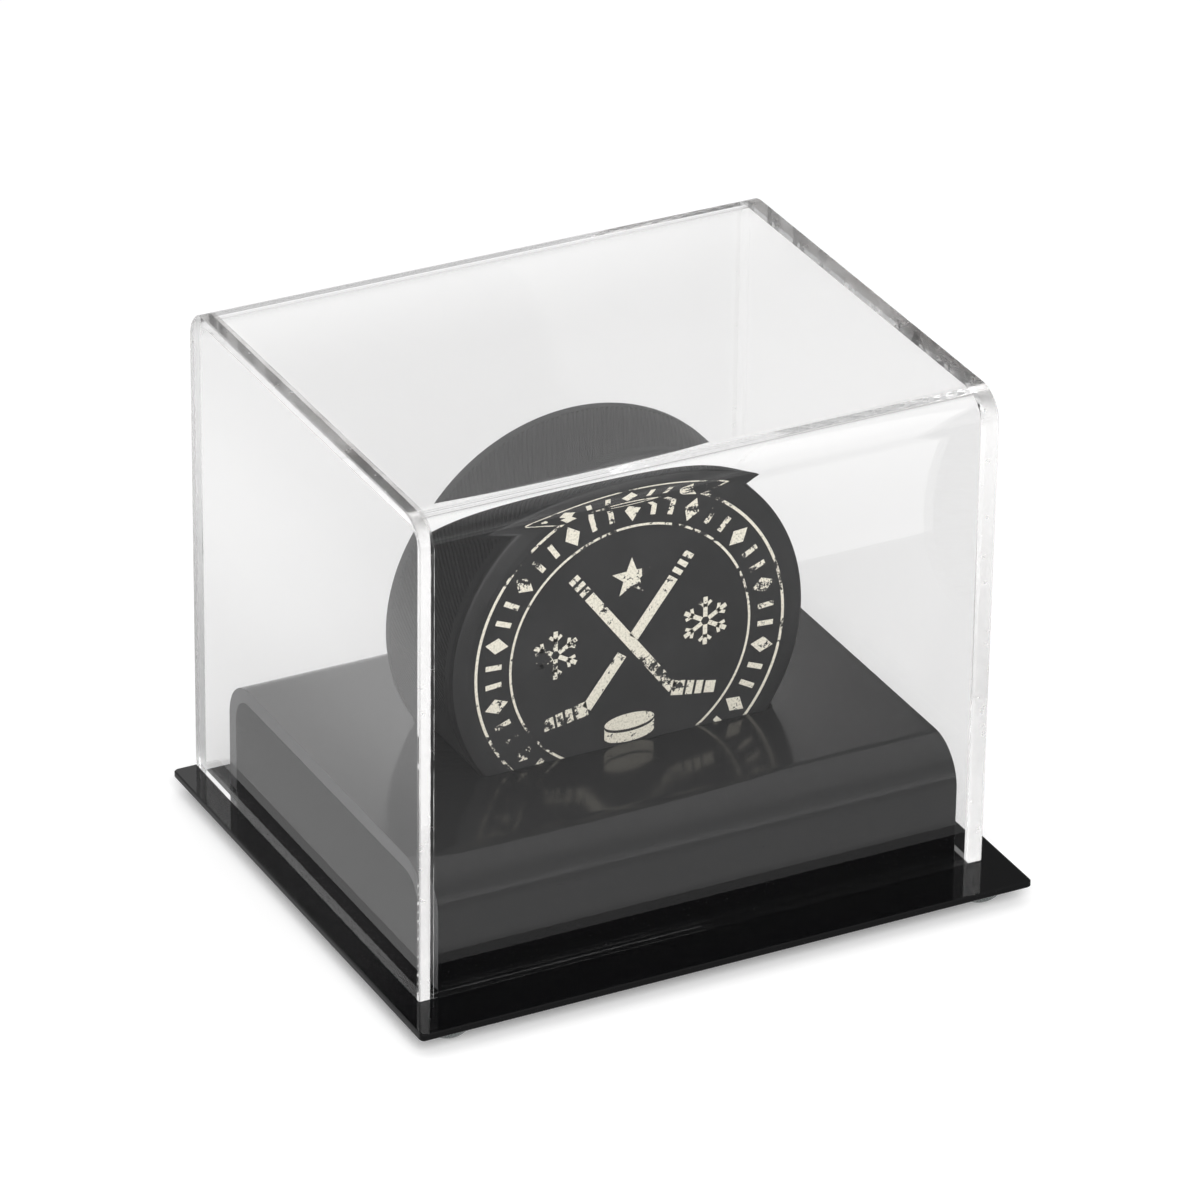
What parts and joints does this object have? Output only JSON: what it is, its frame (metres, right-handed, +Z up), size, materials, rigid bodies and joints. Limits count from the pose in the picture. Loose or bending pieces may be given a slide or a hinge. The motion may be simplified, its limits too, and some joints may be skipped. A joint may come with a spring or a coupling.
{
  "type": "hockey puck in a display case",
  "caption": "Hockey puck standing in the slot of a bent black riser on a footed base plate, under a clear lift-off display cover.",
  "frame": {"origin": "on the floor plane, under the middle of the base plate, level with the flats of the feet", "axes": "+Z up, -Y to the front that the puck's printed face looks to, +X to the right of someone facing the front"},
  "size_m": [0.132, 0.1128, 0.1067],
  "materials": {
    "black_sheet": "polished black acrylic",
    "puck_rubber": "matt vulcanised rubber with a worn cream print on the front face",
    "clear_sheet": "clear acrylic with sawn edges",
    "clear_rubber": "clear soft bumper rubber"
  },
  "bodies": {
    "base": {"base_plate": "black_sheet", "riser": "black_sheet", "foot_front_left": "clear_rubber", "foot_front_right": "clear_rubber", "foot_back_left": "clear_rubber", "foot_back_right": "clear_rubber"},
    "cover": {"cover_wrap": "clear_sheet", "cover_end_left": "clear_sheet", "cover_end_right": "clear_sheet"},
    "puck": {"puck": "puck_rubber"}
  },
  "joints": [
    {"name": "cover_lift", "type": "slide", "parent": "base", "child": "cover", "axis": [0, 0, 1], "range_m": [0, 0.11]},
    {"name": "puck_turn", "type": "hinge", "parent": "base", "child": "puck", "pos_m": [0, 0.0014, 0.0513], "axis": [0, 1, 0], "continuous": true}
  ]
}
